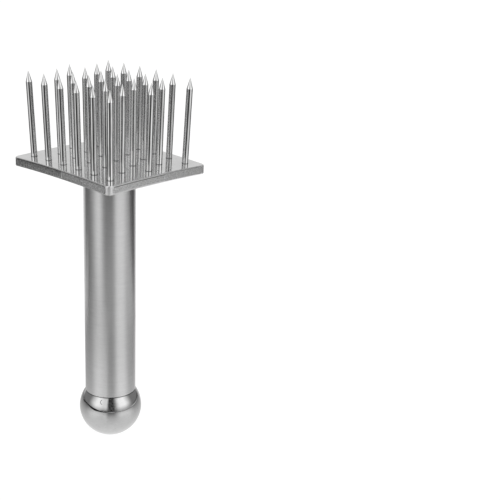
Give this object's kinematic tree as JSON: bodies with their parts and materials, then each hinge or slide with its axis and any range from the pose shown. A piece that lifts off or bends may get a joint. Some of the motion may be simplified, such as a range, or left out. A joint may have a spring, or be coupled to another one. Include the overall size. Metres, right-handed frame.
{
  "type": "needle meat tenderizer",
  "caption": "Hand meat tenderizer: a steel plate with a staggered field of pointed needles on a round tube handle with a ball end.",
  "frame": {"origin": "lowest point of the ball end, on the axis of the handle", "axes": "+Z along the handle, from the ball towards the needle points; X along the rows of needles and Y across them, both parallel to the plate's edges"},
  "size_m": [0.069, 0.06, 0.1854],
  "materials": {
    "plate_steel": "polished faces, ground edges",
    "needle_steel": "polished",
    "tube_steel": "satin",
    "weld_steel": "brushed weld",
    "ball_steel": "mirror polished stainless steel"
  },
  "bodies": {
    "root": {"head_plate": "plate_steel", "handle_tube": "tube_steel", "handle_weld": "weld_steel", "ball_end": "ball_steel", "needle_01": "needle_steel", "needle_02": "needle_steel", "needle_03": "needle_steel", "needle_04": "needle_steel", "needle_05": "needle_steel", "needle_06": "needle_steel", "needle_07": "needle_steel", "needle_08": "needle_steel", "needle_09": "needle_steel", "needle_10": "needle_steel", "needle_11": "needle_steel", "needle_12": "needle_steel", "needle_13": "needle_steel", "needle_14": "needle_steel", "needle_15": "needle_steel", "needle_16": "needle_steel", "needle_17": "needle_steel", "needle_18": "needle_steel", "needle_19": "needle_steel", "needle_20": "needle_steel", "needle_21": "needle_steel", "needle_22": "needle_steel", "needle_23": "needle_steel", "needle_24": "needle_steel", "needle_25": "needle_steel", "needle_26": "needle_steel", "needle_27": "needle_steel", "needle_28": "needle_steel"}
  },
  "joints": []
}
